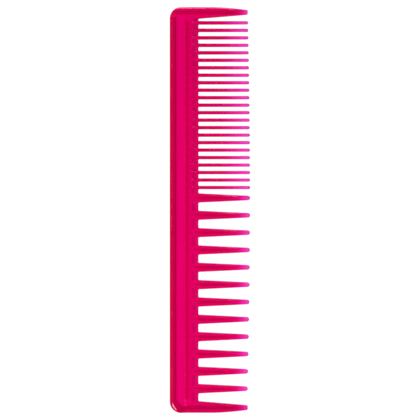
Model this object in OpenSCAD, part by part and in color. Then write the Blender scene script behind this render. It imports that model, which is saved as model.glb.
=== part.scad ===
// A one-shot moulded styling comb with narrow teeth on one half and wide teeth on the other.
// +Y runs towards the narrow-tooth end, +X from the back towards the tooth tips, and +Z up.
// The comb lies flat on its crests, so the origin is under its middle. Distances named "from
// the back" are measured along +X from the back edge.

/* [Overall] */
// Length over both end guards
comb_length = 180; // [170:1:200]
// Width from the back edge to the longest tooth tip
comb_width = 35.7; // [33:0.1:40]
// Greatest thickness, at the bead and the guard crests
comb_thickness = 4.4; // [4.2:0.1:5]

/* [Spine] */
// Width of the bevelled bead along the back
bead_width = 2.5; // [2:0.1:3]
// Width of the flat crest on the bead's inner side
bead_crest = 1; // [0.4:0.1:1.4]
// Thickness of the bead at its outer edge
bead_edge_thickness = 3.5; // [2.6:0.1:3.8]
// Thickness of the recessed panel beside the bead
panel_thickness = 3; // [2.6:0.1:3.4]
// Distance of the tooth rail's step from the back
rail_start = 6.8; // [6:0.1:7.5]
// Thickness of the tooth rail at its step
rail_thickness = 3.6; // [3.4:0.1:4]
// Distance of the tooth roots from the back
root_start = 9.8; // [9:0.1:10.5]
// Thickness of the rail where the roots start
root_thickness = 3.2; // [3:0.1:3.4]
// Distance of the bottom of the gaps from the back
gap_line = 12.7; // [12.2:0.05:13.5]
// Thickness of the web at the bottom of each gap
web_thickness = 1.3; // [1:0.1:1.6]

/* [Narrow teeth] */
// How many narrow teeth
fine_count = 23; // [20:1:24]
// Width of a narrow tooth at its root
fine_width = 1.5; // [1.2:0.01:1.6]
// Width of a narrow tooth before its round nose
fine_tip_width = 1.48; // [1.1:0.01:1.55]
// Thickness of a narrow tooth at its root
fine_thickness = 3.4; // [3:0.1:3.8]

/* [Wide teeth] */
// How many wide teeth
wide_count = 12; // [11:1:13]
// Width of a wide tooth at its root
wide_width = 4.12; // [3.6:0.01:4.2]
// Width of a wide tooth before its round nose
wide_tip_width = 2.08; // [1.5:0.01:2.2]
// Thickness of a wide tooth at its root
wide_thickness = 3.8; // [3.4:0.1:4]

/* [End guards] */
// Width of an end guard at its root, and radius of the back corners
guard_width = 5; // [4.6:0.1:5.4]
// Width of an end guard before its blunt nose
guard_tip_width = 2.05; // [1.6:0.05:2.4]
// Thickness of a guard's outer and inner edges at its root
guard_edge_thickness = 2.7; // [2.2:0.1:3.2]

/* [Tip line] */
// How far the curved line through the tips falls back over half the comb's length
tip_bow = 1.2; // [0:0.1:2]
// Thickness of a tooth before its round nose
tip_thickness = 1.3; // [1:0.1:1.6]

/* [Hidden] */
$fn = 64;
half_length = comb_length / 2;
half_thick = comb_thickness / 2;
straight_half = half_length - guard_width; // half of the length between the guards

// Gaps: a wide gap is gap_ratio narrow gaps, and the gap beside the first guard is a part of one.
gap_ratio = 1.962;
first_gap_share = 0.615;
gap_units = first_gap_share + fine_count + wide_count * gap_ratio;
fine_gap = (2 * straight_half - fine_count * fine_width - wide_count * wide_width) / gap_units;
fine_pitch = fine_width + fine_gap;
wide_pitch = wide_width + fine_gap * gap_ratio;
first_fine_y = straight_half - first_gap_share * fine_gap - fine_width / 2;
last_fine_y = first_fine_y - (fine_count - 1) * fine_pitch;
first_wide_y = last_fine_y - fine_width / 2 - fine_gap - wide_width / 2;

// Each tooth form: [root width, tip width, root thickness, crest width share, edge share, taper power].
// The crest share is of the width and the edge share of the thickness; a higher power keeps the
// thickness longer before it falls to the tip.
fine_form = [fine_width, fine_tip_width, fine_thickness, 0.5, 0.62, 1.5];
wide_form = [wide_width, wide_tip_width, wide_thickness, 0.24, 0.5, 4.5];
guard_taper = 4.5; // the same power for a guard
guard_crest_at = 2.35; // from the guard's outer face to its crest line, at the root
guard_crest = 0.7; // width of its flat crest at the root
guard_crest_share = 0.6; // how much of that width is left at the tip
guard_tip_outset = 1.2; // how far the outer face has curved in at the tip
guard_curve_start = 20.2; // where the outer face starts to curve in, from the back
guard_curve_power = 1.4; // how late that curve sets in
guard_edge_share = 0.55; // thickness of a guard's two edges at its tip, as a share of its crest
guard_nose_share = 0.3; // length of a guard's blunt nose, as a share of its width
guard_nose_round = 0.6; // how round that nose is, from 0 for square to 1 for a half circle
pocket_slope = 1.3; // length of the slope from the rail down to the web
nose_angles = [0, 30, 55, 75]; // stations round a nose
shaft_steps = 6; // stations along a tapering shaft

function two_digits(i) = str(i < 10 ? "0" : "", i);
function fine_name(i) = str("fine_tooth_", two_digits(i));
function wide_name(i) = str("wide_tooth_", two_digits(i));

function fine_y(i) = first_fine_y - (i - 1) * fine_pitch;
function wide_y(i) = first_wide_y - (i - 1) * wide_pitch;
// The first wide tooth reaches furthest.
function tip_at(y) = comb_width - tip_bow * pow((y - first_wide_y) / half_length, 2);
function mix(a, b, s) = a + (b - a) * s;

// Every tooth's side faces: y of both edges of each gap along the rail, from the +Y end.
edges = concat(
    [straight_half],
    [for (i = [1:fine_count]) each [fine_y(i) + fine_width / 2, fine_y(i) - fine_width / 2]],
    [for (i = [1:wide_count]) each [wide_y(i) + wide_width / 2, wide_y(i) - wide_width / 2]],
    [-straight_half]
);

// A closed solid through rings that all have the same number of points.
module loft(rings) {
    n = len(rings[0]);
    last = (len(rings) - 1) * n;
    polyhedron(
        points = [for (r = rings) each r],
        faces = concat(
            [[for (k = [0:n - 1]) k]],
            [for (r = [0:len(rings) - 2], k = [0:n - 1])
                let (a = r * n + k, b = r * n + (k + 1) % n) [b, a, a + n, b + n]],
            [[for (k = [0:n - 1]) last + n - 1 - k]]
        )
    );
}

// One eight-sided section at x from the back: edges at y_low and y_high, a crest between them.
function ring(x, y_low, y_high, crest_low, crest_high, half_edge, half_crest) = [
    for (p = [
        [y_high, half_edge], [crest_high, half_crest], [crest_low, half_crest], [y_low, half_edge],
        [y_low, -half_edge], [crest_low, -half_crest], [crest_high, -half_crest], [y_high, -half_edge]
    ]) [x, p[0], p[1]]
];

// A straight tooth's section, s from 0 at the bottom of the gap to 1 at the nose, squeeze on the nose.
function tooth_ring(form, y, x, s, squeeze) =
    let (
        half_width = mix(form[0], form[1], s) / 2 * squeeze,
        half_crest = mix(form[2], tip_thickness, pow(s, form[5])) / 2 * squeeze
    )
    ring(x, y - half_width, y + half_width, y - half_width * form[3], y + half_width * form[3],
        half_crest * form[4], half_crest);

module tooth(form, y) {
    nose = form[1] / 2;
    shaft_end = tip_at(y) - nose;
    loft(concat(
        [tooth_ring(form, y, root_start, 0, 1)],
        [for (k = [0:shaft_steps - 1])
            let (s = k / shaft_steps) tooth_ring(form, y, mix(gap_line, shaft_end, s), s, 1)],
        [for (a = nose_angles) tooth_ring(form, y, shaft_end + nose * sin(a), 1, cos(a))]
    ));
}

// Distance from the end of the comb to a guard's outer face, at x from the back.
function guard_outset(x, tip) =
    x < guard_curve_start ? 0
    : guard_tip_outset * pow((x - guard_curve_start) / (tip - guard_curve_start), guard_curve_power);

// A guard's section, measured inwards from the end of the comb.
function guard_ring(x, s, squeeze, tip) =
    let (
        outer = guard_outset(x, tip),
        inner = mix(guard_width, guard_tip_outset + guard_tip_width, s),
        middle = mix(guard_crest_at, (outer + inner) / 2, pow(s, guard_taper)),
        crest = guard_crest * mix(1, guard_crest_share, s) / 2,
        half_crest = mix(half_thick, tip_thickness / 2, pow(s, guard_taper)) * squeeze,
        half_edge = mix(guard_edge_thickness / 2, half_crest * guard_edge_share, s) * squeeze,
        low = half_length - mix(middle, inner, squeeze),
        high = half_length - mix(middle, outer, squeeze)
    )
    ring(x, low, high, half_length - middle - crest * squeeze, half_length - middle + crest * squeeze,
        half_edge, half_crest);

// The profile of the bead from its outer edge inwards, above the comb's mid-plane.
function bead_profile() = [
    [0, bead_edge_thickness / 2], [bead_width - bead_crest, half_thick], [bead_width, half_thick]
];
// The same profile on both sides of the mid-plane, closed.
function both_sides(p) = concat(p, [for (k = [len(p) - 1:-1:0]) [p[k][0], -p[k][1]]]);

// Draws in comb coordinates: x from the back edge, z from the mid-plane.
module comb_frame() {
    translate([-comb_width / 2, 0, half_thick]) children();
}

// Extrudes an x-z outline along Y, from y_low to y_high.
module along_y(outline, y_low, y_high) {
    translate([0, y_high, 0]) rotate([90, 0, 0]) linear_extrude(y_high - y_low) polygon(outline);
}

module end_guard() {
    tip = tip_at(half_length);
    nose = guard_tip_width * guard_nose_share;
    shaft_end = tip - nose;
    shaft = [for (k = [0:shaft_steps - 1]) let (s = k / shaft_steps) [mix(gap_line, shaft_end, s), s]];
    bead = [for (p = bead_profile()) [guard_width - p[0], p[1]]];
    comb_frame() {
        // The rounded back corner: the bead's profile turned about the corner's centre.
        translate([guard_width, straight_half, 0]) rotate([0, 0, 90]) rotate_extrude(angle = 90)
            polygon(both_sides(concat(bead,
                [[guard_width - bead_width, panel_thickness / 2], [0, panel_thickness / 2]])));
        loft(concat(
            [guard_ring(guard_width, 0, 1, tip)],
            [for (k = shaft) guard_ring(k[0], k[1], 1, tip)],
            [for (a = nose_angles)
                guard_ring(shaft_end + nose * sin(a), 1, mix(1, cos(a), guard_nose_round), tip)]
        ));
    }
}

module back_bead() {
    color("crimson") comb_frame() along_y(both_sides(bead_profile()), -straight_half, straight_half);
}

module recessed_panel() {
    half = panel_thickness / 2;
    color("deeppink") comb_frame()
        along_y([[bead_width, -half], [rail_start, -half], [rail_start, half], [bead_width, half]],
            -straight_half, straight_half);
}

// The rail is one bar, with a thin web beyond it at the bottom of every gap.
module root_rail() {
    edge_round = web_thickness / 4;
    bar = both_sides([[rail_start, rail_thickness / 2], [root_start, root_thickness / 2]]);
    web = both_sides([
        [root_start, root_thickness / 2],
        [root_start + pocket_slope, web_thickness / 2],
        [gap_line - edge_round, web_thickness / 2],
        [gap_line, web_thickness / 2 - edge_round]
    ]);
    color("mediumvioletred") comb_frame() {
        along_y(bar, -straight_half, straight_half);
        for (k = [0:2:len(edges) - 2]) along_y(web, edges[k + 1], edges[k]);
    }
}

module end_guard_fine() {
    color("crimson") end_guard();
}

module end_guard_wide() {
    color("crimson") mirror([0, 1, 0]) end_guard();
}

module fine_tooth(i) {
    color("hotpink") comb_frame() tooth(fine_form, fine_y(i));
}

module wide_tooth(i) {
    color("deeppink") comb_frame() tooth(wide_form, wide_y(i));
}

back_bead();
recessed_panel();
root_rail();
end_guard_fine();
end_guard_wide();
for (i = [1:fine_count]) fine_tooth(i);
for (i = [1:wide_count]) wide_tooth(i);
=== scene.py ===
"""The looks of a one-shot moulded styling comb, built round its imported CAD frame.

The comb is the same on both faces, so each visible piece is drawn in plan and given a half
thickness at every plan point. "u" is the distance from the back edge, "v" runs along the comb
and "m" is the distance from the comb's middle towards either end, all in millimetres.
"""
import math

import bpy
import numpy as np
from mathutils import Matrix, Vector


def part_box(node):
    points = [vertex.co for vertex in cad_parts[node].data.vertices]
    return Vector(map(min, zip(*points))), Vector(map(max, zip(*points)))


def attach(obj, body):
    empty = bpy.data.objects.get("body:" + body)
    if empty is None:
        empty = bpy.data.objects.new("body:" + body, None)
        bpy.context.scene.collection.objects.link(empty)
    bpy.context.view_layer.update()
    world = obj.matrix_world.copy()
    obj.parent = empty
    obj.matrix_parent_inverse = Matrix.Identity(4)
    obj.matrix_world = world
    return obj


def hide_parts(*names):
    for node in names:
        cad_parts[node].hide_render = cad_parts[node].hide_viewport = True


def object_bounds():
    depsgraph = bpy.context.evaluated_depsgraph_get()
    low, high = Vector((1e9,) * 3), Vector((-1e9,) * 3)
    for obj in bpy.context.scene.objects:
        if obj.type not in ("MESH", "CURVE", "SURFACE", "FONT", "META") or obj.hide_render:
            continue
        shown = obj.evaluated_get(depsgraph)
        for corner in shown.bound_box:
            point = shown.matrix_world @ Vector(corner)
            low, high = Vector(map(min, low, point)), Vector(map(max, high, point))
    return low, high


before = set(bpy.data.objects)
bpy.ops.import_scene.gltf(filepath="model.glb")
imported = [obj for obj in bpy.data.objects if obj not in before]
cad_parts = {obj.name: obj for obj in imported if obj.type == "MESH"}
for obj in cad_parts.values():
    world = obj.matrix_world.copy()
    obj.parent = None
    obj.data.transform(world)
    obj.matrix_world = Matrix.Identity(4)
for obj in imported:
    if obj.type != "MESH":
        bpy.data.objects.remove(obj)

MM = 0.001
CAD_LOW, CAD_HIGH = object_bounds()
BACK = CAD_LOW.x
MID_Z = (CAD_LOW.z + CAD_HIGH.z) / 2
HALF_LENGTH = (CAD_HIGH.y - CAD_LOW.y) / 2 / MM
MAX_THICK = (CAD_HIGH.z - CAD_LOW.z) / MM
HALF_THICK = MAX_THICK / 2

GUARDS = {"end_guard_fine": 1, "end_guard_wide": -1}  # and the sign of v at its end
FINE_TEETH = sorted(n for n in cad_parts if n.startswith("fine_tooth"))
WIDE_TEETH = sorted(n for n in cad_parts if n.startswith("wide_tooth"))


def span_u(node):
    """A CAD node's nearest and furthest distance from the back edge, in millimetres."""
    low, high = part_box(node)
    return (low.x - BACK) / MM, (high.x - BACK) / MM


def span_v(node):
    """A CAD node's two ends along the comb, in millimetres from its middle."""
    low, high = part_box(node)
    return low.y / MM, high.y / MM


def half_thick(node):
    """Half of a CAD node's thickness, in millimetres."""
    low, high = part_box(node)
    return (high.z - low.z) / 2 / MM


# ---- The comb's measures, in millimetres. Those that the CAD has come from the frame. ----

BEAD = span_u("back_bead")[1]  # width of the bead along the back
PANEL_HALF = half_thick("recessed_panel")
RAIL, GAP_LINE = span_u("root_rail")  # the rail's step, and the bottom of the gaps
RAIL_HALF = half_thick("root_rail")
ROOT = span_u("wide_tooth_01")[0]  # where the teeth start on the rail
STRAIGHT = span_v("back_bead")[1]  # where the end guards start, from the middle
CORNER = HALF_LENGTH - STRAIGHT  # radius of the back corners and width of a guard's root
GUARD_TIP = span_u("end_guard_fine")[1]
BEAD_EDGE_HALF = 1.75  # half thickness of the bead's outer edge
BEAD_FALL = 1.5  # width of the bead's rounded outer face
BEAD_ROUND = 0.16  # radius of the bead's outer edge
CORNER_CUT = 0.6  # how far the rim's inner side is cut off straight across a back corner
RAIL_END_HALF = 1.54  # half thickness of the rail where the teeth start
RAIL_FADE = (0.3, 1.8)  # the rail dies away over these distances before a guard
WEB_HALF = 0.65  # half thickness of the web at the bottom of a gap
WEB_ROUND = 0.3  # radius of the web's edge
TIP_HALF = 0.68  # half thickness of a tooth before its nose
GAP_FILLET = 0.4  # radius in plan where a gap's bottom meets a tooth
EDGE_FREE = GAP_LINE + 1.5 * GAP_FILLET  # from here on a tooth's edges are fully rounded
RISE_LEAD = 0.5  # a tooth's ridge starts to rise out of the rail this far before its root
RISE_LENGTH = GAP_LINE + 1.7 - ROOT  # the length over which it rises
RISE_STEP = 0.16  # how far it stands above the rail where it starts
EDGE_LIMIT = 0.6  # an edge's radius is never more of a tooth's width or height than this
FLANK_SLOPE = 2.5  # how steeply a tooth or guard falls away beyond its sides
WEB_SLOPE = 3.0  # and how steeply a web does beyond its edge
GUARD_CURVE_START = 20.2  # where a guard's outer face starts to curve in
GUARD_CURVE_POWER = 1.4
GUARD_TIP_OUTSET = 1.2  # how far it has curved in at the tip
GUARD_TIP_WIDTH = 2.05
GUARD_NOSE = 0.65  # length of a guard's blunt nose
GUARD_NOSE_POWER = 2.6  # 2 is a round nose, and more is a blunter one
GUARD_NOSE_NARROWING = 0.7  # how much of the nose's fall shows in plan
GUARD_EDGE_HALF = 1.55  # half thickness of a guard's edges at its root
GUARD_EDGE_SHARE = 0.6  # height share of its edges at its tip
GUARD_CREST_AT = 2.68  # from its outer face to its crest line at its root
GUARD_CREST = 0.35  # half width of that crest
GUARD_TIP_CREST = 0.3  # and at its tip
GUARD_BEVEL = 0.7  # width of the steeper bevel along its outer edge
GUARD_BEVEL_SLOPE = 0.66
GUARD_OUTER_SHOULDER = 1.62  # half thickness at the foot of its crest's outer side
GUARD_OUTER_SLOPE = 0.6  # slope of that side
GUARD_INNER_SHOULDER = 1.58  # the same for its inner side
GUARD_INNER_SLOPE = 2.2
GUARD_TAPER = 4.5  # the power of its fall in thickness
GUARD_OVER_RIM = (CORNER - 0.8, CORNER + 2.5)  # a rim gives way to its guard between these
GUARD_ACROSS_BEAD = (STRAIGHT + 0.15, STRAIGHT + 0.65)  # and here the fine guard runs over the bead
BEVEL_FADE = (2, 4)  # the bevel fades in round a back corner between these
LEAST_HALF = 0.02  # half of the least thickness and width
NO_SURFACE = -1  # a height below everything, where a form has ended

# How widely the crossings of faces are rounded over.
SPINE_SOFT = 0.14
RIM_WALL_SOFT = 0.05
RAIL_END_SOFT = 0.1
TOOTH_CREST_SOFT = 0.16
GUARD_CREST_SOFT = 0.1
GUARD_SHOULDER_SOFT = 0.08
RIDGE_SOFT = 0.12  # where the rim and the guards stand on the panel and rail
TOOTH_ROOT_SOFT = 0.22

# A tooth's form: width before the nose, width share of its crest, height share of its edges,
# radius of its edges, the power of its fall in thickness, and the part of its length over
# which its tint lightens, with the power of that rise.
FINE = {
    "nose": 1.48, "crest": 0.4, "edge": 0.66, "round": 0.14, "power": 1.5, "light": (0.3, 0.92, 1.0),
}
WIDE = {
    "nose": 2.08, "crest": 0.16, "edge": 0.5, "round": 0.16, "power": 4.5, "light": (0.6, 0.98, 1.5),
}
GUARD_LIGHT = (0.74, 0.98, 1.3)


# ---- Smooth blends ----

def smooth_max(a, b, width):
    """The larger of a and b, with their crossing rounded over about that width."""
    blend = np.maximum(width - np.abs(a - b), 0) / width
    return np.maximum(a, b) + blend * blend * width / 4


def smooth_min(a, b, width):
    """The smaller of a and b, rounded over likewise."""
    return -smooth_max(-a, -b, width)


def smooth_step(start, end, x):
    """0 up to the start and 1 from the end on, with an easy rise between."""
    s = np.clip((x - start) / (end - start), 0, 1)
    return s * s * (3 - 2 * s)


def mix(a, b, s):
    """From a, where s is 0, to b, where s is 1."""
    return a + (b - a) * s


def soft_profile(points, softness):
    """A function through the points, with its corners rounded over about that distance."""
    at, height = np.array(points, float).T
    step = 0.01
    fine = np.arange(at[0] - 2 * softness, at[-1] + 2 * softness, step)
    kernel = np.hanning(2 * round(softness / step) + 3)
    padded = np.pad(np.interp(fine, at, height), len(kernel) // 2, mode="edge")
    soft = np.convolve(padded, kernel / kernel.sum(), "valid")
    return lambda x: np.interp(x, fine, soft)


def edge_drop(inside, radius):
    """How far an edge of that radius has fallen, at a distance inside it."""
    short = np.clip(radius - inside, 0, radius)
    return radius - np.sqrt(np.maximum(radius * radius - short * short, 0))


def bevel(depth):
    """How far the bevel along a guard's outer edge has fallen, at a depth inside that edge."""
    return GUARD_BEVEL_SLOPE * np.clip(GUARD_BEVEL - depth, 0, None)


# ---- Teeth ----

def tooth_measures(node, form):
    """A tooth's place and size, from its CAD node."""
    v_low, v_high = span_v(node)
    tip = span_u(node)[1]
    nose = form["nose"] / 2
    return {
        "form": form, "centre": (v_low + v_high) / 2, "root_half": (v_high - v_low) / 2,
        "nose": nose, "shaft_end": tip - nose, "thick": half_thick(node),
    }


TEETH = {n: tooth_measures(n, FINE) for n in FINE_TEETH}
TEETH.update({n: tooth_measures(n, WIDE) for n in WIDE_TEETH})


def along(tooth, u):
    """0 at the bottom of the gaps, 1 where the nose starts."""
    return np.clip((u - GAP_LINE) / (tooth["shaft_end"] - GAP_LINE), 0, 1)


def nose_squeeze(past, length):
    """How much of a section is left at a distance into a round nose of that length."""
    return np.sqrt(np.clip(1 - (np.maximum(past, 0) / length) ** 2, 0, 1))


def tooth_half_width(tooth, u):
    """Half of a tooth's width in plan."""
    straight = mix(tooth["root_half"], tooth["nose"], along(tooth, u))
    return straight * nose_squeeze(u - tooth["shaft_end"], tooth["nose"])


def tooth_height(tooth, u, v):
    """Half thickness of a tooth's ridge, which falls away steeply beyond its sides."""
    form, s = tooth["form"], along(tooth, u)
    squeeze = nose_squeeze(u - tooth["shaft_end"], tooth["nose"])
    half_width = np.maximum(tooth_half_width(tooth, u), LEAST_HALF)
    rise = np.clip((u - ROOT + RISE_LEAD) / RISE_LENGTH, 0, 1)
    root = mix(RAIL_END_HALF + RISE_STEP, tooth["thick"], rise)
    crest = np.minimum(root, mix(tooth["thick"], TIP_HALF, s ** form["power"])) * squeeze
    across = np.abs(v - tooth["centre"]) / half_width
    fall = (1 - form["edge"]) * (across - form["crest"]) / (1 - form["crest"])
    roof = smooth_min(crest, crest * (1 - fall), TOOTH_CREST_SOFT * squeeze + LEAST_HALF / 2)
    beyond = np.maximum(across - 1, 0) * half_width
    least = np.minimum(half_width, crest * form["edge"] + LEAST_HALF)
    radius = np.minimum(form["round"], EDGE_LIMIT * least)
    free = smooth_step(GAP_LINE, EDGE_FREE, u)
    drop = edge_drop(np.maximum(1 - across, 0) * half_width, radius)
    return roof - free * drop - FLANK_SLOPE * beyond


# ---- The frame of the comb: bead, panel, rail, webs and guards ----

# Half thickness of the panel, the rail and the webs, by the distance from the back edge.
spine_profile = soft_profile([
    (BEAD, PANEL_HALF), (RAIL - 0.1, PANEL_HALF), (RAIL + 0.1, RAIL_HALF), (RAIL + 0.75, RAIL_HALF),
    (ROOT - 0.4, RAIL_END_HALF), (ROOT, RAIL_END_HALF - 0.06), (ROOT + 1.3, WEB_HALF),
    (GAP_LINE + 3, WEB_HALF),
], SPINE_SOFT)
# The rim's inner wall, by the distance from it towards the comb's outside.
rim_wall = soft_profile([(-0.3, 0), (-0.07, PANEL_HALF), (0, HALF_THICK), (1, HALF_THICK)], RIM_WALL_SOFT)


def crowned(depth, edge, fall, crest):
    """A rounded outer face: from its edge's half thickness up to its crest's, over its width."""
    return crest - (crest - edge) * np.clip(1 - depth / fall, 0, None) ** 2


def gap_edge(v):
    """How far past the gap line the web reaches, where it fillets into a tooth or a guard."""
    sides = [(STRAIGHT, HALF_LENGTH), (-HALF_LENGTH, -STRAIGHT)]
    sides += [(t["centre"] - t["root_half"], t["centre"] + t["root_half"]) for t in TEETH.values()]
    clear = np.min([np.maximum(np.maximum(low - v, v - high), 0) for low, high in sides], axis=0)
    return edge_drop(clear, GAP_FILLET)


def base_height(u, v):
    """Half thickness of the panel, the rail and the webs, with no ridges on them."""
    near_guard, clear = RAIL_FADE
    fade = smooth_step(STRAIGHT - near_guard, STRAIGHT - clear, np.abs(v))
    rail = smooth_min(spine_profile(u), mix(PANEL_HALF, RAIL_HALF, fade), RAIL_END_SOFT)
    web_start = ROOT + 1.5
    past = u - GAP_LINE - np.where(u > web_start, gap_edge(v), 0)
    web = rail - edge_drop(-past, WEB_ROUND) - WEB_SLOPE * np.maximum(past, 0)
    return np.where(u > GAP_LINE + GAP_FILLET, NO_SURFACE, web)


def rim_height(u, v, depth):
    """Half thickness of the bead. At the wide end it runs on round the corner, cut off straight inside."""
    corner_cut = ((-v - STRAIGHT) - (u - BEAD) + CORNER_CUT) / math.sqrt(2)
    wall = rim_wall(np.maximum(BEAD - depth, corner_cut))
    crown = crowned(depth, BEAD_EDGE_HALF, BEAD_FALL, HALF_THICK)
    return np.minimum(wall, crown) - edge_drop(depth, BEAD_ROUND)


def guard_edges(u):
    """How far in from the comb's end a guard's outer and inner faces are, and how far along it u is."""
    s = np.clip((u - GAP_LINE) / (GUARD_TIP - GAP_LINE), 0, 1)
    curve = np.clip((u - GUARD_CURVE_START) / (GUARD_TIP - GUARD_CURVE_START), 0, 1)
    outer = GUARD_TIP_OUTSET * curve ** GUARD_CURVE_POWER
    return outer, mix(CORNER, GUARD_TIP_OUTSET + GUARD_TIP_WIDTH, s), s


def guard_squeeze(u):
    """How much of a guard's width and thickness is left in its blunt nose."""
    into = np.clip((u - (GUARD_TIP - GUARD_NOSE)) / GUARD_NOSE, 0, 1)
    return (1 - into ** GUARD_NOSE_POWER) ** (1 / GUARD_NOSE_POWER)


def guard_height(u, m):
    """Half thickness of a guard: two shallow facets with a rib between them as its crest."""
    outer, inner, s = guard_edges(u)
    squeeze, taper = guard_squeeze(u), s ** GUARD_TAPER
    crest = mix(HALF_THICK, TIP_HALF, taper) * squeeze
    edge = mix(GUARD_EDGE_HALF, crest * GUARD_EDGE_SHARE, s)
    depth = HALF_LENGTH - m
    middle = mix(GUARD_CREST_AT, (outer + inner) / 2, taper)
    half_crest = mix(GUARD_CREST, GUARD_TIP_CREST, s)
    rise_from, rise_to = middle - half_crest, middle + half_crest
    outer_face = mix(edge, mix(GUARD_OUTER_SHOULDER, crest, s), (depth - outer) / (rise_from - outer))
    outer_side = crest - GUARD_OUTER_SLOPE * (rise_from - depth)
    outer_face = smooth_max(outer_face, outer_side, GUARD_SHOULDER_SOFT)
    outer_face = outer_face - (1 - s * s) * bevel(depth - outer)
    inner_face = mix(edge, mix(GUARD_INNER_SHOULDER, crest, s), (inner - depth) / (inner - rise_to))
    inner_side = crest - GUARD_INNER_SLOPE * (depth - rise_to)
    inner_face = smooth_max(inner_face, inner_side, GUARD_SHOULDER_SOFT)
    faces = smooth_min(inner_face, outer_face, GUARD_CREST_SOFT)
    roof = smooth_min(faces, crest, GUARD_CREST_SOFT)
    free = smooth_step(GAP_LINE, EDGE_FREE, u)
    within, beyond = np.maximum(inner - depth, 0), np.maximum(depth - inner, 0)
    drop = edge_drop(depth - outer, BEAD_ROUND) + free * edge_drop(within, BEAD_ROUND)
    return roof - drop - FLANK_SLOPE * beyond


def height(u, v):
    """Half thickness of the whole comb at a plan point."""
    m = np.abs(v)
    round_corner = CORNER - np.hypot(CORNER - u, np.maximum(m - STRAIGHT, 0))
    depth = np.where(u < CORNER, round_corner, HALF_LENGTH - m)
    # The guard at the narrow end runs straight out to the back edge, across the bead's end.
    across = np.where(v > 0, smooth_step(*GUARD_ACROSS_BEAD, m), 0)
    guard_share = np.maximum(smooth_step(*GUARD_OVER_RIM, u), across)
    corner_face = crowned(depth, BEAD_EDGE_HALF, BEAD_FALL, HALF_THICK) - edge_drop(depth, BEAD_ROUND)
    corner_face = corner_face - smooth_step(*BEVEL_FADE, u) * bevel(depth)
    guard = np.where(u < CORNER, np.minimum(guard_height(u, m), corner_face), guard_height(u, m))
    ridge = mix(rim_height(u, v, depth), guard, guard_share)
    within_rim = BEAD - 0.2
    base = np.where(depth < within_rim, NO_SURFACE, base_height(u, v))
    h = smooth_max(base, ridge, RIDGE_SOFT)
    flank_reach = 1.2
    for tooth in TEETH.values():
        near = (np.abs(v - tooth["centre"]) < tooth["root_half"] + flank_reach) & (u > RAIL)
        if near.any():
            h[near] = smooth_max(h[near], tooth_height(tooth, u[near], v[near]), TOOTH_ROOT_SOFT)
    return np.maximum(h, LEAST_HALF)


# ---- Meshes ----

SEAM = 0.35  # how far from a step in thickness the seam between two pieces lies
CREASE = 42  # degrees, the least angle between faces that shows as an edge
TOOTH_NOSE_CUTS = np.sin(np.radians([12, 25, 38, 50, 61, 71, 79, 85]))
GUARD_NOSE_CUTS = np.sin(np.radians([20, 35, 48, 60, 70, 79, 85]))


def plan_grid(rows_u, columns_v):
    """A patch of plan points, as arrays of u and v."""
    return np.meshgrid(rows_u, columns_v, indexing="ij")


def weld(patches):
    """Joins patches into one list of plan points and one of faces, all turned the same way."""
    points, quads, count = [], [], 0
    for u, v in patches:
        index = np.arange(u.size).reshape(u.shape) + count
        corners = [index[:-1, :-1], index[1:, :-1], index[1:, 1:], index[:-1, 1:]]
        quads.append(np.stack(corners, -1).reshape(-1, 4))
        points.append(np.stack([u.ravel(), v.ravel()], -1))
        count += u.size
    points, where = np.unique(np.round(np.concatenate(points), 4), axis=0, return_inverse=True)
    faces = []
    for quad in where.ravel()[np.concatenate(quads)]:
        corners = list(dict.fromkeys(quad.tolist()))
        if len(corners) < 3:
            continue
        x, y = points[corners].T
        area = np.dot(x, np.roll(y, -1)) - np.dot(y, np.roll(x, -1))
        faces.append(corners if area > 0 else corners[::-1])
    return points, faces


def closed_faces(faces, count):
    """The faces of both sides of a slab, with a wall round its edge."""
    edges = {(f[k], f[(k + 1) % len(f)]) for f in faces for k in range(len(f))}
    walls = [[b, a, a + count, b + count] for a, b in sorted(edges) if (b, a) not in edges]
    return faces + [[k + count for k in reversed(f)] for f in faces] + walls


def lightened(u, end, light):
    """How far the plastic has lightened along a tooth that ends there, from 0 to 1."""
    start, full, power = light
    reach = (u - GAP_LINE) / (end - GAP_LINE)
    return np.clip((reach - start) / (full - start), 0, 1) ** power


def add_piece(name, patches, nodes, light=None):
    """Makes a closed piece from plan patches, and stands it in for its CAD nodes."""
    points, faces = weld(patches)
    u, v = points.T
    half = height(u, v)
    upper = np.stack([BACK + u * MM, v * MM, half * MM], -1)
    both = np.concatenate([upper, upper * (1, 1, -1)]) + (0, 0, MID_Z)
    mesh = bpy.data.meshes.new(name)
    mesh.from_pydata(both, [], closed_faces(faces, len(points)))
    for label, values in (("thickness", 2 * half), ("lightness", light(u) if light else 0 * u)):
        attribute = mesh.attributes.new(label, "FLOAT", "POINT")
        attribute.data.foreach_set("value", np.tile(values, 2).astype(np.float32))
    mesh.polygons.foreach_set("use_smooth", [True] * len(mesh.polygons))
    mesh.set_sharp_from_angle(angle=math.radians(CREASE))
    piece = bpy.data.objects.new(name, mesh)
    bpy.context.scene.collection.objects.link(piece)
    mesh.materials.append(PLASTIC)
    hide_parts(*nodes)
    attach(piece, "root")


def spaced(start, end, step):
    """Even steps from start to end, none longer than step."""
    return np.linspace(start, end, max(2, math.ceil(abs(end - start) / step) + 1))


def rounded(radius):
    """Distances into an edge of that radius, closest at its start."""
    return radius * (1 - np.cos(np.linspace(0, math.pi / 2, 5)))


def joined(*runs):
    """Several runs of numbers as one rising run, with no value twice."""
    return np.unique(np.round(np.concatenate(runs), 4))


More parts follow.
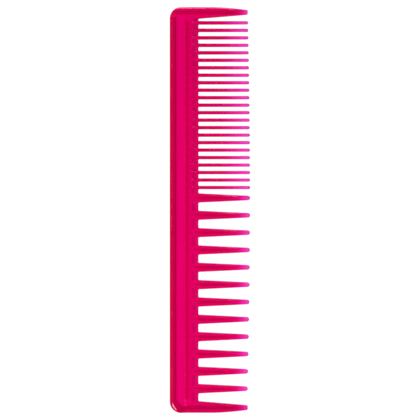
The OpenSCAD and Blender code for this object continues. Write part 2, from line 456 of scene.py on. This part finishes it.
def rail_columns():
    """Where the rail is cut along its length: at every tooth side, and finely beside it."""
    sides = [STRAIGHT, -STRAIGHT]
    for tooth in TEETH.values():
        sides += [tooth["centre"] - tooth["root_half"], tooth["centre"] + tooth["root_half"]]
    sides = np.sort(np.round(sides, 4))
    near = np.array([0.06, 0.14, 0.25, 0.4, 0.6])
    reach_share = 0.42  # the fine cuts stop short of the middle
    runs = []
    for low, high in zip(sides[:-1], sides[1:]):
        reach = near[near < (high - low) * reach_share]
        runs.append(joined([low, high], low + reach, high - reach, spaced(low, high, step=0.5)[1:-1]))
    return runs


def lengthwise():
    """Where the bead and the panel are cut along their length: finely beside the guards."""
    fine_end = 3
    middle = spaced(-STRAIGHT + fine_end, STRAIGHT - fine_end, step=2.0)
    end = spaced(0, fine_end, step=0.12)
    return joined(middle, STRAIGHT - end, end - STRAIGHT)


def make_bead():
    """The bead along the back, with the foot of its inner wall."""
    wall, seam = BEAD - 0.15, BEAD + SEAM
    rows = joined(rounded(BEAD_ROUND), spaced(BEAD_ROUND, wall, step=0.2), spaced(wall, seam, step=0.04))
    add_piece("comb_back_bead", [plan_grid(rows, lengthwise())], ["back_bead"])


def make_panel():
    """The thinner, flat strip beside the bead."""
    rows = joined(spaced(BEAD + SEAM, RAIL - SEAM, step=0.4))
    add_piece("comb_recessed_panel", [plan_grid(rows, lengthwise())], ["recessed_panel"])


def make_rail():
    """The bar that the teeth grow from, with the web at the bottom of every gap."""
    bar_u = joined(spaced(RAIL - SEAM, RAIL + SEAM, step=0.05), spaced(RAIL + SEAM, ROOT, step=0.3))
    web_share = joined(spaced(0, 1, step=0.06), [0.9, 0.95, 0.975, 0.99])
    patches = []
    for k, run in enumerate(rail_columns()):
        patches.append(plan_grid(bar_u, run))
        if k % 2 == 0:  # a gap: its web reaches on from the rail
            end = GAP_LINE + gap_edge(run)
            web_u = ROOT + web_share[:, None] * (end - ROOT)[None, :]
            patches.append((web_u, np.broadcast_to(run, web_u.shape)))
    add_piece("comb_root_rail", patches, ["root_rail"])


def make_tooth(node, tooth):
    """A ridged tooth with rounded edges and a round nose, from the rail out."""
    shaft_end, nose, radius = tooth["shaft_end"], tooth["nose"], tooth["form"]["round"]
    stations = joined(
        spaced(ROOT, GAP_LINE, step=0.3), spaced(GAP_LINE, EDGE_FREE, step=0.15),
        spaced(EDGE_FREE, shaft_end, step=1.1), shaft_end + nose * TOOTH_NOSE_CUTS,
    )
    edge_row = rounded(1) * radius / nose
    half_row = joined(edge_row, spaced(edge_row[-1], 1, step=0.22))
    row = np.concatenate([half_row - 1, (1 - half_row)[::-1][1:]])
    v = tooth["centre"] + tooth_half_width(tooth, stations)[:, None] * row[None, :]
    u = np.broadcast_to(stations[:, None], v.shape)
    add_piece("comb_" + node, [(u, v)], [node], lambda at: lightened(at, shaft_end, tooth["form"]["light"]))


def make_guard(node, side):
    """A stout end tooth with its back corner, cut finely at its bevel and at its rib."""
    bevel_to, rib_from, rib_to = 0.8, 1.5, 3.5
    depth = joined(
        rounded(BEAD_ROUND), spaced(BEAD_ROUND, bevel_to, step=0.08), spaced(bevel_to, rib_from, step=0.2),
        spaced(rib_from, rib_to, step=0.07), spaced(rib_to, CORNER - BEAD_ROUND, step=0.2),
        CORNER - rounded(BEAD_ROUND),
    )
    angle = np.radians(np.linspace(0, 90, 33))
    u = CORNER - (CORNER - depth)[:, None] * np.cos(angle)[None, :]
    v = STRAIGHT + (CORNER - depth)[:, None] * np.sin(angle)[None, :]
    corner = (u, v * side)
    nose_start = GUARD_TIP - GUARD_NOSE
    rail_top = RAIL + SEAM
    stations = joined(
        spaced(CORNER, rail_top, step=0.1), spaced(rail_top, GAP_LINE, step=0.3),
        spaced(GAP_LINE, EDGE_FREE, step=0.12), spaced(EDGE_FREE, nose_start, step=0.9),
        nose_start + GUARD_NOSE * GUARD_NOSE_CUTS,
    )
    outer, inner, _ = guard_edges(stations)
    middle = ((outer + inner) / 2)[:, None]
    across = outer[:, None] + (inner - outer)[:, None] * (depth / CORNER)[None, :]
    narrowing = mix(1, guard_squeeze(stations), GUARD_NOSE_NARROWING)
    across = middle + (across - middle) * narrowing[:, None]
    arm = (np.broadcast_to(stations[:, None], across.shape), side * (HALF_LENGTH - across))
    add_piece("comb_" + node, [corner, arm], [node], lambda at: lightened(at, GUARD_TIP, GUARD_LIGHT))


# ---- Material ----

def linear(red, green, blue):
    """A screen colour, 0 to 255, as the linear colour that nodes take."""
    def one(c):
        c /= 255
        return c / 12.92 if c <= 0.04045 else ((c + 0.055) / 1.055) ** 2.4
    return one(red), one(green), one(blue), 1.0


def grey(value):
    """A linear grey, as nodes take it."""
    return value, value, value, 1.0


def set_ramp(node, stops):
    """Sets a colour ramp's stops, each a place from 0 to 1 and a linear colour."""
    ramp = node.color_ramp
    while len(ramp.elements) < len(stops):
        ramp.elements.new(0.5)
    for element, (at, colour) in zip(ramp.elements, stops):
        element.position = at
        element.color = colour


# The plastic's screen colour by its thickness in millimetres, and by how far it has lightened.
TINT_BY_THICKNESS = [
    (1.2, (212, 3, 103)), (2.2, (221, 0, 92)), (2.95, (219, 0, 99)), (3.3, (214, 0, 88)),
    (3.6, (192, 0, 69)), (3.9, (182, 0, 60)), (MAX_THICK, (190, 0, 66)),
]
TINT_BY_LIGHTNESS = [
    (0.2, (225, 4, 109)), (0.4, (229, 12, 125)), (0.55, (231, 20, 138)),
    (0.72, (234, 31, 155)), (0.85, (237, 42, 165)), (1.0, (238, 62, 178)),
]
# Brightness along the comb, from the wide end to the narrow one: darker towards the narrow end, with
# painted shade on the wide guard and painted light on the narrow one.
TONE_AND_PAINTED_LIGHT_ALONG = [(0.0, 0.93), (0.016, 0.93), (0.024, 1.0), (0.965, 0.895), (0.985, 0.97)]
LIGHT_TINT_GAIN = 1.6  # how soon the lightened tint covers the other


class Shading:
    """Short ways to add nodes to one material."""

    def __init__(self, material):
        self.nodes, self.links = material.node_tree.nodes, material.node_tree.links
        self.shader = self.nodes["Principled BSDF"]
        self.place = self.node("ShaderNodeTexCoord").outputs["Object"]

    def node(self, kind, **values):
        """A node with these settings."""
        made = self.nodes.new(kind)
        for key, value in values.items():
            setattr(made, key, value)
        return made

    def attribute(self, name):
        """A number that the mesh keeps at each of its points."""
        return self.node("ShaderNodeAttribute", attribute_name=name).outputs["Fac"]

    def ramp(self, value, stops):
        """The colour at that value on a ramp with these stops."""
        made = self.node("ShaderNodeValToRGB")
        set_ramp(made, stops)
        self.links.new(value, made.inputs["Fac"])
        return made.outputs["Color"]

    def scaled(self, operation, value, by, use_clamp=False):
        """A value times or over a plain number."""
        made = self.node("ShaderNodeMath", operation=operation, use_clamp=use_clamp)
        made.inputs[1].default_value = by
        self.links.new(value, made.inputs[0])
        return made.outputs[0]

    def combined(self, operation, a, b):
        """Two values added or multiplied."""
        made = self.node("ShaderNodeMath", operation=operation)
        self.links.new(a, made.inputs[0])
        self.links.new(b, made.inputs[1])
        return made.outputs[0]

    def noise(self, scale, stretch, detail, low, high):
        """Noise from low to high, with a scale per metre, drawn out along the comb by stretch."""
        squash = self.node("ShaderNodeVectorMath", operation="MULTIPLY")
        squash.inputs[1].default_value = (1, 1 / stretch, 1)
        self.links.new(self.place, squash.inputs[0])
        texture = self.node("ShaderNodeTexNoise")
        texture.inputs["Scale"].default_value = scale
        texture.inputs["Detail"].default_value = detail
        self.links.new(squash.outputs[0], texture.inputs["Vector"])
        spread = self.node("ShaderNodeMapRange")
        ranges = {"From Min": 0.3, "From Max": 0.7, "To Min": low, "To Max": high}
        for socket, value in ranges.items():
            spread.inputs[socket].default_value = value
        self.links.new(texture.outputs["Fac"], spread.inputs["Value"])
        return spread.outputs["Result"]

    def bump(self, height_map, strength, distance, over=None):
        """Relief of that height in metres, over another relief if there is one."""
        made = self.node("ShaderNodeBump")
        made.inputs["Strength"].default_value = strength
        made.inputs["Distance"].default_value = distance
        self.links.new(height_map, made.inputs["Height"])
        if over:
            self.links.new(over, made.inputs["Normal"])
        return made.outputs["Normal"]


def thickness_tint(shading):
    """Deep crimson where the plastic is thick, and light violet pink at thin tips."""
    share = shading.scaled("DIVIDE", shading.attribute("thickness"), MAX_THICK)
    body = shading.ramp(share, [(at / MAX_THICK, linear(*tint)) for at, tint in TINT_BY_THICKNESS])
    light = shading.attribute("lightness")
    tip = shading.ramp(light, [(at, linear(*tint)) for at, tint in TINT_BY_LIGHTNESS])
    mixed = shading.node("ShaderNodeMix", data_type="RGBA")
    cover = shading.scaled("MULTIPLY", light, LIGHT_TINT_GAIN, use_clamp=True)
    shading.links.new(cover, mixed.inputs["Factor"])
    shading.links.new(body, mixed.inputs["A"])
    shading.links.new(tip, mixed.inputs["B"])
    return mixed.outputs["Result"]


def pigment_and_painted_light(shading):
    """Faint flow lines drawn out along the comb and cloudier patches, times a brightness along it: darker
    towards the narrow end, with the narrow guard painted lighter and the wide guard painted darker.
    """
    lines = shading.noise(scale=900, stretch=30, detail=2, low=0.995, high=1.055)
    clouds = shading.noise(scale=60, stretch=2, detail=2, low=0.98, high=1.02)
    along_comb = shading.node("ShaderNodeSeparateXYZ")
    shading.links.new(shading.place, along_comb.inputs[0])
    share = shading.node("ShaderNodeMapRange")
    share.inputs["From Min"].default_value = CAD_LOW.y
    share.inputs["From Max"].default_value = CAD_HIGH.y
    shading.links.new(along_comb.outputs["Y"], share.inputs["Value"])
    # Painted light and shade along the comb: the narrow guard lighter and the wide guard darker than the
    # plastic beside them, and darker towards the narrow end.
    tone_and_painted_light = shading.ramp(share.outputs["Result"], [(at, grey(value)) for at, value in TONE_AND_PAINTED_LIGHT_ALONG])
    return shading.combined("MULTIPLY", shading.combined("MULTIPLY", lines, clouds), tone_and_painted_light)


def tinted_plastic():
    """Glossy tinted plastic, with handling smudges, fine scratches and a slightly wavy skin."""
    material = bpy.data.materials.new("tinted_pink_plastic")
    material.use_nodes = True
    shading = Shading(material)
    sockets = shading.shader.inputs

    tint = shading.node("ShaderNodeVectorMath", operation="SCALE")
    shading.links.new(thickness_tint(shading), tint.inputs[0])
    # The tint is scaled by flow lines, clouds and painted light and shade along the comb.
    shading.links.new(pigment_and_painted_light(shading), tint.inputs["Scale"])
    shading.links.new(tint.outputs["Vector"], sockets["Base Color"])

    smudges = shading.noise(scale=90, stretch=1, detail=4, low=0.05, high=0.1)
    scratches = shading.noise(scale=2600, stretch=25, detail=3, low=-0.01, high=0.03)
    shading.links.new(shading.combined("ADD", smudges, scratches), sockets["Roughness"])
    sockets["Specular IOR Level"].default_value = 0.2

    skin = shading.noise(scale=350, stretch=1.5, detail=2, low=0, high=1)
    hairlines = shading.noise(scale=4200, stretch=40, detail=2, low=0, high=1)
    waves = shading.bump(skin, strength=0.12, distance=0.00004)
    relief = shading.bump(hairlines, strength=0.12, distance=0.000008, over=waves)
    shading.links.new(relief, sockets["Normal"])
    return material


# ---- Stage, lights and camera ----

FLOOR_LIGHT = 0.7  # how brightly the floor lights the comb
FLOOR_GLOSS = 0.12  # and how bright it is in reflections
PLAIN_WHITE = 1.04  # the camera sees the floor and the tent as plain white
HORIZON_GLOW = linear(196, 70, 122)  # what flat faces mirror when they are seen edge on
FLOOR_REACH = 3.0  # half the floor's width, in metres
FLOOR_GAP = 0.0001  # the floor lies this far below the comb
VIEW_SHARE = 1.0365  # the view's height for each unit of the comb's length


def make_floor():
    """A plain white table with no shadow on it. It lights the comb softly from below."""
    mesh = bpy.data.meshes.new("floor")
    corners = [(x * FLOOR_REACH, y * FLOOR_REACH, 0) for x, y in ((-1, -1), (1, -1), (1, 1), (-1, 1))]
    mesh.from_pydata(corners, [], [(0, 1, 2, 3)])
    floor = bpy.data.objects.new("floor", mesh)
    bpy.context.scene.collection.objects.link(floor)
    paper = bpy.data.materials.new("floor_paper")
    paper.use_nodes = True
    nodes, links = paper.node_tree.nodes, paper.node_tree.links
    nodes.remove(nodes["Principled BSDF"])
    ray = nodes.new("ShaderNodeLightPath")
    lit, strength = nodes.new("ShaderNodeMath"), nodes.new("ShaderNodeMath")
    lit.operation = strength.operation = "MULTIPLY_ADD"
    lit.inputs[1].default_value = FLOOR_LIGHT - FLOOR_GLOSS
    lit.inputs[2].default_value = FLOOR_GLOSS
    strength.inputs[1].default_value = PLAIN_WHITE - FLOOR_GLOSS
    links.new(ray.outputs["Is Diffuse Ray"], lit.inputs[0])
    links.new(ray.outputs["Is Camera Ray"], strength.inputs[0])
    links.new(lit.outputs[0], strength.inputs[2])
    glow = nodes.new("ShaderNodeEmission")
    glow.inputs["Color"].default_value = grey(1.0)
    links.new(strength.outputs[0], glow.inputs["Strength"])
    links.new(glow.outputs[0], nodes["Material Output"].inputs["Surface"])
    mesh.materials.append(paper)
    floor.location.z = CAD_LOW.z - FLOOR_GAP


def make_world():
    """A white tent, dark overhead. Reflections only see a faint pink band low round the horizon."""
    world = bpy.data.worlds.new("tent")
    world.use_nodes = True
    bpy.context.scene.world = world
    nodes, links = world.node_tree.nodes, world.node_tree.links
    direction = nodes.new("ShaderNodeTexCoord")
    split = nodes.new("ShaderNodeSeparateXYZ")
    links.new(direction.outputs["Generated"], split.inputs[0])
    ray = nodes.new("ShaderNodeLightPath")
    choice, seen = nodes.new("ShaderNodeMix"), nodes.new("ShaderNodeMix")
    choice.data_type = seen.data_type = "RGBA"
    links.new(ray.outputs["Is Glossy Ray"], choice.inputs["Factor"])
    links.new(ray.outputs["Is Camera Ray"], seen.inputs["Factor"])
    links.new(choice.outputs["Result"], seen.inputs["A"])
    seen.inputs["B"].default_value = grey(PLAIN_WHITE)
    tent = [(0.0, grey(0.8)), (0.45, grey(1.0)), (0.72, grey(0.4)), (0.9, grey(0.05))]
    horizon = [(0.0, HORIZON_GLOW), (0.06, HORIZON_GLOW), (0.13, linear(80, 20, 40)), (0.3, grey(0.0))]
    for stops, socket in ((tent, "A"), (horizon, "B")):
        ramp = nodes.new("ShaderNodeValToRGB")
        links.new(split.outputs["Z"], ramp.inputs["Fac"])
        set_ramp(ramp, stops)
        links.new(ramp.outputs["Color"], choice.inputs[socket])
    links.new(seen.outputs["Result"], nodes["Background"].inputs["Color"])


def make_softbox(name, azimuth, elevation, distance, size, power, gloss, colour=(1.0, 1.0, 1.0)):
    """A rectangular light aimed at the comb. Azimuth is from +X towards +Y.

    It either lights the comb or, with gloss, shows as a reflection in it, so each can be set alone.
    """
    turn, rise = math.radians(azimuth), math.radians(elevation)
    level = math.cos(rise)
    place = distance * Vector((math.cos(turn) * level, math.sin(turn) * level, math.sin(rise)))
    data = bpy.data.lights.new(name, "AREA")
    data.shape = "RECTANGLE"
    data.size, data.size_y = size
    data.energy = power
    data.color = colour
    lamp = bpy.data.objects.new(name, data)
    lamp.location = place
    lamp.rotation_mode = "QUATERNION"
    lamp.rotation_quaternion = (-place).to_track_quat("-Z", "Y")
    lamp.visible_camera = False
    lamp.visible_diffuse = not gloss
    lamp.visible_glossy = gloss
    bpy.context.scene.collection.objects.link(lamp)


def make_camera():
    """A long lens straight above the comb, with the narrow teeth at the top of the view."""
    data = bpy.data.cameras.new("camera")
    data.lens = 200
    data.sensor_width = 36
    data.clip_end = 20
    camera = bpy.data.objects.new("camera", data)
    centre = (CAD_LOW + CAD_HIGH) / 2
    view_height = (CAD_HIGH.y - CAD_LOW.y) * VIEW_SHARE
    camera.location = (centre.x, centre.y, centre.z + view_height * data.lens / data.sensor_width)
    bpy.context.scene.collection.objects.link(camera)
    bpy.context.scene.camera = camera


PLASTIC = tinted_plastic()
make_bead()
make_panel()
make_rail()
for tooth_node, tooth_size in TEETH.items():
    make_tooth(tooth_node, tooth_size)
for guard_node, guard_side in GUARDS.items():
    make_guard(guard_node, guard_side)

make_floor()
make_world()
# Azimuth and elevation in degrees, distance and size in metres, power in watts.
make_softbox("key_softbox", 180, 64, 0.8, (0.5, 0.5), 5.5, gloss=False)
make_softbox("corner_strip", 227, 67, 3.0, (0.85, 0.3), 115, gloss=True, colour=(0.85, 0.88, 1.0))
make_softbox("end_strip", 90, 15, 2.0, (1.4, 0.22), 11, gloss=True, colour=(1.0, 0.7, 0.9))
make_softbox("low_back_window", 135, 25, 1.5, (0.4, 0.14), 0.45, gloss=True)
make_softbox("low_front_window", 315, 15, 1.5, (0.4, 0.12), 0.3, gloss=True)
make_camera()
bpy.context.scene.view_settings.view_transform = "Standard"
